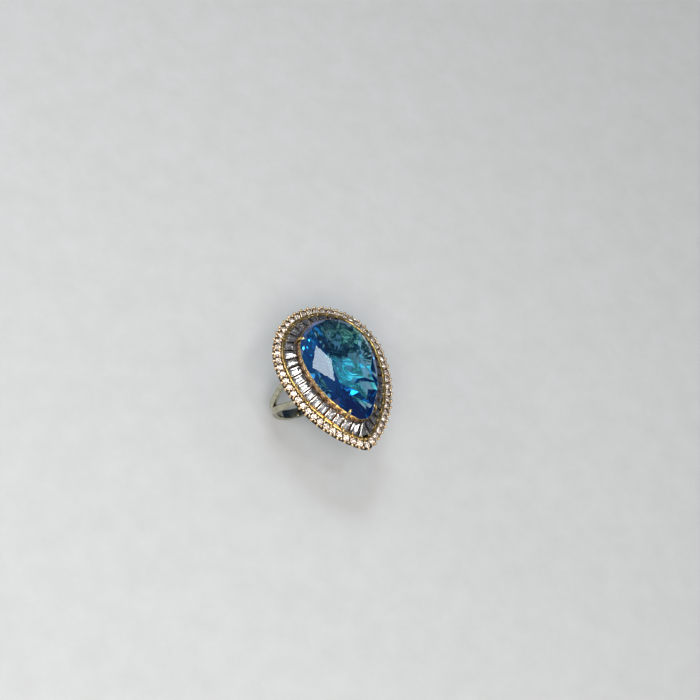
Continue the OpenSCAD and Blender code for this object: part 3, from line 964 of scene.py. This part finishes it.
def struts():
    """Wires that sweep up and out from the base rail to the baguette rail, each with a bead at its middle."""
    s = Shape()
    z0, z1 = GALLERY + RAIL_H, WALL_BOTTOM
    for i in range(STRUTS):
        k = (i + 0.5) / STRUTS
        low, high = BASE.at(k), RAIL.at(k)
        points, radii = [], []
        for q in range(15):
            f = q / 14
            out = 0.5 - 0.5 * math.cos(math.pi * f)
            up = 0.55 * f + 0.45 * math.sin(math.pi / 2 * f)
            p = low.lerp(high, f * 0.55 + out * 0.45)
            points.append((p.x, p.y, z0 - 0.2 + (z1 - z0 + 0.35) * up))
            radii.append(0.40 - 0.08 * math.sin(math.pi * f))
        s.tube(points, radii, 10)
        s.ball(points[7], 0.5, squash=0.6)
    # The wires in a dark copy of the gold: painted shade
    s.build("gallery_wires", [painted_shade_gold], ["gallery_struts"])


# ---- shank, in the row frame, in millimetres ----

FINGER_R, SHANK_R = 9.25, -shank_lo.z / MM
SHANK_TOP = HEAD.z / MM + GALLERY
# Half the width of the single band, the width of one arm and of the whole fork at its top
PALM_HALF, ARM_W, FORK_W = 1.3, 1.4, 10.6
# Heights at which the band starts to widen and the arms part
SPLIT_Z, CROTCH_Z = -3.5, -1.2
# Where an arm's inside leaves the wall of the finger hole, in degrees from the top, and how far out it ends
LEAVE, INNER_TOP_X = math.radians(44), 7.4
# An arm's outside goes straight up as far as a height, then leans in
SIDE_X, SIDE_Z, TOP_X = FINGER_R + 0.5, 4, 9.1


def palm_sides(angle):
    """The band's inner and outer point in the XZ plane, at an angle in degrees from its lowest point."""
    g = math.radians(angle)
    return [(r * math.sin(g), -r * math.cos(g)) for r in (FINGER_R, SHANK_R)]


def arm_sides(z):
    """An arm's inner and outer point in the XZ plane at a height."""
    lx, lz = FINGER_R * math.sin(LEAVE), FINGER_R * math.cos(LEAVE)
    xi = lx + (INNER_TOP_X - lx) * (z - lz) / (SHANK_TOP - lz)
    if z < lz:
        xi = math.sqrt(FINGER_R**2 - z**2)
    xo = SIDE_X + (TOP_X - SIDE_X) * max(z - SIDE_Z, 0) / (SHANK_TOP - SIDE_Z)
    if z < SHANK_R:
        xo = max(xo, math.sqrt(SHANK_R**2 - z**2))
    return (xi, z), (xo, z)


def arm_y(z):
    """How far from the middle an arm's near and far side are at a height."""
    outer = PALM_HALF
    if z >= SPLIT_Z:
        outer += (FORK_W / 2 - PALM_HALF) * (z - SPLIT_Z) / (SHANK_TOP - SPLIT_Z)
    inner = (FORK_W / 2 - ARM_W) * (z - CROTCH_Z) / (SHANK_TOP - CROTCH_Z)
    return inner, outer


def shank_section(inner, outer, y0, y1, x_side, y_side=1):
    """A rounded section between two points of the XZ plane and two widths, domed on its outer side.

    x_side and y_side are 1 or -1 and mirror it.
    """
    a, b = Vector((inner[0], 0, inner[1])), Vector((outer[0], 0, outer[1]))
    t = (b - a).length
    n = (b - a) / t
    w = y1 - y0
    r = min(0.4, w * 0.24, t * 0.24)
    loop = []
    for u, v in rounded(0, w, 0, t, r, 4):
        dome = 0.0 if v < t * 0.5 else -0.22 * ((u / w - 0.5) * 2) ** 2 * min(1.0, w / 1.8)
        p = a + n * (v + dome)
        loop.append(Vector((p.x * x_side, (y0 + u) * y_side, p.z)))
    return loop


def shank():
    """The single band up to where the arms part, and four arms that start a little way down inside it."""
    s = Shape()
    for x_side in (1, -1):
        band = []
        for i in range(37):
            inner, outer = palm_sides(90 * i / 36 * 0.93)
            w = arm_y((inner[1] + outer[1]) / 2)[1]
            band.append(shank_section(inner, outer, -w, w, x_side))
        s.loft([loop for loop in band if max(p.z for p in loop) < CROTCH_Z + 1.6])
        for y_side in (1, -1):
            places = [palm_sides(angle) for angle in (74, 78, 82, 86)]
            places += [arm_sides(0.0001 + SHANK_TOP * q / 30) for q in range(31)]
            arm = []
            for inner, outer in places:
                lo, hi = arm_y((inner[1] + outer[1]) / 2)
                arm.append(shank_section(inner, outer, max(lo, 0.02), hi, x_side, y_side))
            s.loft(arm)
    obj = s.build("split_shank_polished", [shank_gold], ["split_shank"], head=False)
    outward_normals(obj)
    obj.data.set_sharp_from_angle(angle=SHARP)


# ---- studio ----

# The camera, fitted to the photo: angles, distance in metres, focal length and the point it aims at
AZIMUTH, ELEVATION, ROLL = math.radians(-57.46), math.radians(53.31), math.radians(-39.06)
DISTANCE, LENS = 0.567, 113.14
AIM = (6.18, 1.59, 0)
# The point of the head that the lights aim at
LIT = (0, -3, 0)
# Soft boxes: name, direction from the head, distance, size, brightness and colour
LIGHTS = [
    ("key", (-0.5, -0.4, 0.8), 0.75, 0.3, 13.0, (1.0, 0.98, 0.95)),
    ("top", (-0.1, 0.35, 1.0), 0.75, 0.3, 1.0),
    ("back_low", (-0.7, 0.7, 0.35), 0.6, 0.2, 2.0, (0.98, 0.99, 1.0)),
    ("glint_a", (-0.2, -0.25, 1.0), 0.6, 0.05, 40),
    ("glint_b", (0.45, -0.3, 0.82), 0.6, 0.03, 45),
    ("glint_c", (-0.85, 0.1, 0.5), 0.6, 0.05, 30),
]
# The world: the direction of its bright side, its two ends, and the greys that diffuse and camera rays see
SKY_AXIS = (-0.5, -0.34, 0.8)
SKY_DARK, SKY_BRIGHT = (0.02, 0.038, 0.075, 1), (0.2, 0.205, 0.225, 1)
DIFFUSE_GREY, CAMERA_GREY = 0.26, 0.52
FLOOR_HALF = 1.6


def camera():
    level = math.cos(ELEVATION)
    back = Vector((math.sin(AZIMUTH) * level, -math.cos(AZIMUTH) * level, math.sin(ELEVATION)))
    cam = bpy.data.objects.new("camera", bpy.data.cameras.new("camera"))
    cam.data.lens = LENS
    cam.data.sensor_width = 36
    cam.data.clip_start, cam.data.clip_end = 0.01, 20
    cam.location = Vector(put(AIM)) + back * DISTANCE
    cam.rotation_mode = "QUATERNION"
    roll = Matrix.Rotation(-ROLL, 3, "Z").to_quaternion()
    cam.rotation_quaternion = (-back).to_track_quat("-Z", "Y") @ roll
    bpy.context.scene.collection.objects.link(cam)
    bpy.context.scene.camera = cam
    return cam


def soft_light(name, towards, distance, size, radiance, colour=(1, 1, 1)):
    """A square soft box seen from the head in a direction, with the brightness it shows in a mirror."""
    data = bpy.data.lights.new(name, "AREA")
    data.shape, data.size = "SQUARE", size
    data.energy = radiance * math.pi * size * size
    data.color = colour
    obj = bpy.data.objects.new(name, data)
    direction = Vector(towards).normalized()
    obj.location = Vector(put(LIT)) + direction * distance
    obj.rotation_mode = "QUATERNION"
    obj.rotation_quaternion = (-direction).to_track_quat("-Z", "Y")
    bpy.context.scene.collection.objects.link(obj)


def mirrored(normal, point, cam):
    """The direction from which light reaches the camera off a facet."""
    v = (cam.location - Vector(put(point))).normalized()
    n = normal.normalized()
    return n * (2 * v.dot(n)) - v


def floor():
    s = FLOOR_HALF
    mesh = bpy.data.meshes.new("floor")
    corners = [(x, y, FLOOR_Z) for x, y in ((-s, -s), (s, -s), (s, s), (-s, s))]
    mesh.from_pydata(corners, [], [(0, 1, 2, 3)])
    obj = bpy.data.objects.new("floor", mesh)
    bpy.context.scene.collection.objects.link(obj)
    n = Nodes("floor_card")
    colour = n.ramp(n.noise(160, 4, 0.6), [(0.3, (0.62, 0.62, 0.62)), (0.7, (0.66, 0.66, 0.665))])
    n.link(colour, n.bsdf.inputs["Base Color"])
    n.bsdf.inputs["Roughness"].default_value = 0.8
    n.bump(n.noise(2200, 3, 0.6), 0.08, 0.0001)
    mesh.materials.append(n.mat)


def world():
    """A sky that only mirrors and clear stones see, with plain greys for diffuse and camera rays."""
    w = bpy.data.worlds.new("studio")
    bpy.context.scene.world = w
    w.use_nodes = True
    t = w.node_tree
    coord = t.nodes.new("ShaderNodeTexCoord")
    dot = t.nodes.new("ShaderNodeVectorMath")
    dot.operation = "DOT_PRODUCT"
    dot.inputs[1].default_value = Vector(SKY_AXIS).normalized()
    ramp = t.nodes.new("ShaderNodeValToRGB")
    span = t.nodes.new("ShaderNodeMapRange")
    span.inputs["From Min"].default_value = -1
    t.links.new(coord.outputs["Generated"], dot.inputs[0])
    t.links.new(dot.outputs["Value"], span.inputs["Value"])
    t.links.new(span.outputs["Result"], ramp.inputs["Fac"])
    for stop, at, colour in zip(ramp.color_ramp.elements, (0.4, 1.0), (SKY_DARK, SKY_BRIGHT)):
        stop.position, stop.color = at, colour
    path = t.nodes.new("ShaderNodeLightPath")
    colour = ramp.outputs["Color"]
    for ray, grey in (("Is Diffuse Ray", DIFFUSE_GREY), ("Is Camera Ray", CAMERA_GREY)):
        mix = t.nodes.new("ShaderNodeMix")
        mix.data_type = "RGBA"
        t.links.new(path.outputs[ray], mix.inputs[0])
        t.links.new(colour, mix.inputs[6])
        mix.inputs[7].default_value = (grey, grey, grey * 1.01, 1)
        colour = mix.outputs[2]
    t.links.new(colour, t.nodes["Background"].inputs["Color"])


def lights(cam):
    """A card that one main facet of the stone mirrors to the camera, and the soft boxes of the table."""
    table, star, kite, _ = stone_points()
    left = MAINS.index(LEFT_MAIN)
    n = (star[left - 1] - table[left]).cross(star[left] - table[left])
    n = n if n.z > 0 else -n
    middle = (table[left] + star[left - 1] + star[left] + kite[left]) / 4
    soft_light("kite_card", mirrored(n, middle, cam), 0.42, 0.11, 8.5, (0.8, 0.95, 1.0))
    for light in LIGHTS:
        soft_light(*light)


centre_stone()
baguettes()
inner_wall()
outer_rail()
seat_collar()
claws()
halo()
scroll_plate()
base_rail()
struts()
shank()
# little of these two shows, so they keep the CAD's meshes
for node in ("baguette_tray", "halo_band"):
    mesh = frame["nodes"][node].data
    mesh.materials.clear()
    mesh.materials.append(antique)
world()
floor()
lights(camera())
bpy.context.scene.view_settings.view_transform = "Standard"
